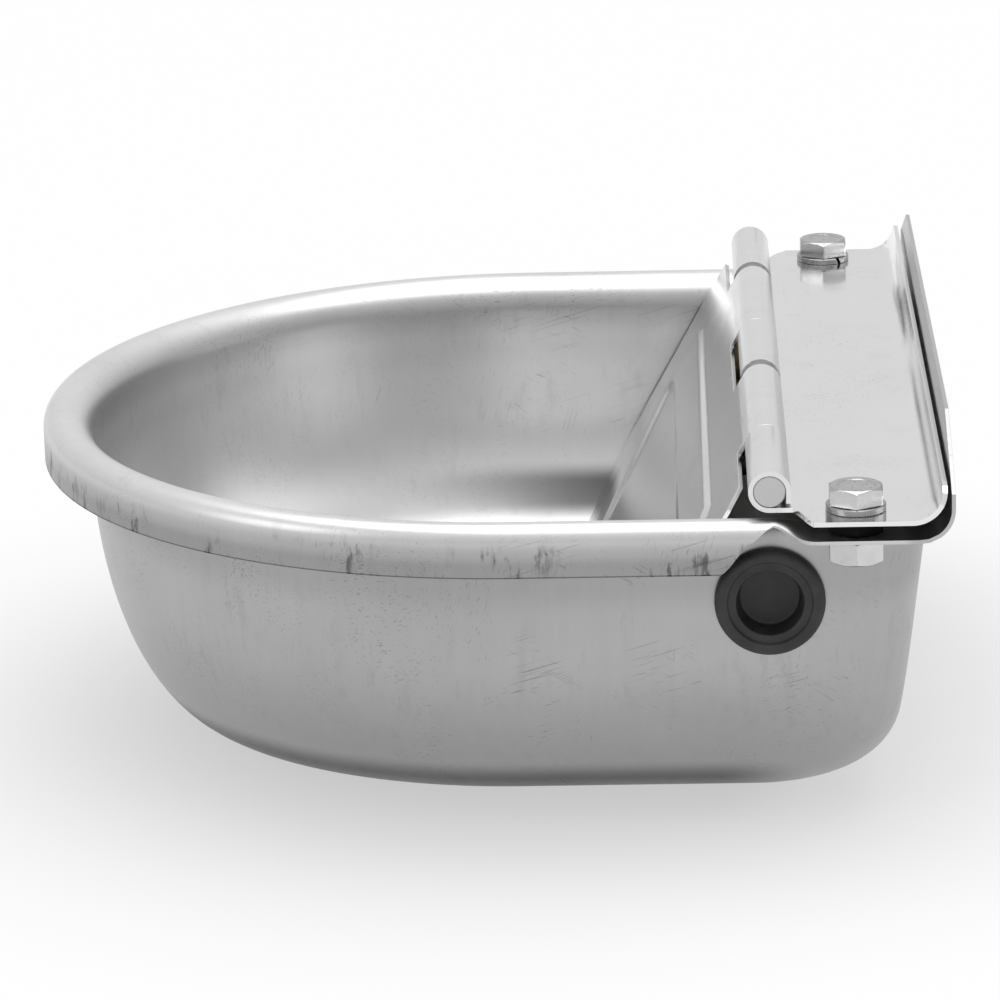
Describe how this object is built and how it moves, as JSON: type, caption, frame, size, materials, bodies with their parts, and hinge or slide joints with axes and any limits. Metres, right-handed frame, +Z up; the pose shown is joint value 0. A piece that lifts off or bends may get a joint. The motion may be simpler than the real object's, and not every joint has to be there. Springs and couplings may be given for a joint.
{
  "type": "livestock drinking bowl",
  "caption": "Wall-hung D-shaped stainless steel drinking bowl with rolled rim, bolted cover, hinged baffle and a float valve behind it.",
  "frame": {"origin": "on the flat underside, below the centre of the front rim's arc", "axes": "+Z up, -X towards the drinking side, +X towards the wall, +Y towards the water inlet"},
  "size_m": [0.236, 0.2694, 0.108],
  "materials": {
    "bowl_steel": "satin drawn stainless steel",
    "cover_steel": "bright rolled stainless sheet",
    "pin_steel": "plain drawn stainless bar",
    "bolt_steel": "bright stainless fasteners",
    "washer_steel": "stainless washer",
    "arm_steel": "stainless rod and nuts",
    "plug_rubber": "moulded black rubber",
    "seal_rubber": "black rubber",
    "valve_brass": "machined brass",
    "nut_brass": "machined brass",
    "seat_nylon": "natural nylon",
    "plunger_plastic": "white acetal",
    "float_plastic": "blow-moulded polyethylene"
  },
  "bodies": {
    "bowl": {"bowl_shell": "bowl_steel", "rim_and_flange": "bowl_steel", "blanking_plug": "plug_rubber", "cover_plate": "cover_steel", "hinge_pin": "pin_steel", "cover_bolts": "bolt_steel", "spring_washers": "bolt_steel", "spacer_nuts": "bolt_steel", "clamp_nuts": "bolt_steel", "valve_body": "valve_brass", "valve_seat": "seat_nylon", "inlet_gasket": "seal_rubber", "inlet_washer": "washer_steel", "inlet_lock_nut": "nut_brass", "lever_pivot_pin": "pin_steel", "lever_split_pin": "pin_steel"},
    "baffle": {"baffle_plate": "cover_steel"},
    "float_lever": {"float_arm": "arm_steel", "valve_float": "float_plastic", "float_nuts": "arm_steel"},
    "plunger": {"valve_plunger": "plunger_plastic", "plunger_seal": "seal_rubber"}
  },
  "joints": [
    {"name": "baffle_hinge", "type": "hinge", "parent": "bowl", "child": "baffle", "pos_m": [0.0641, 0, 0.0942], "axis": [0, 1, 0], "range_deg": [0, 150]},
    {"name": "float_lift", "type": "hinge", "parent": "bowl", "child": "float_lever", "pos_m": [0.0641, 0.0629, 0.0522], "axis": [-1, 0, 0], "range_deg": [0, 12]},
    {"name": "plunger_slide", "type": "slide", "parent": "bowl", "child": "plunger", "axis": [0, 1, 0], "range_m": [0, 0.00245]}
  ],
  "couplings": [
    {"joint": "plunger_slide", "follows": "float_lift", "m_per_rad": 0.01148}
  ]
}
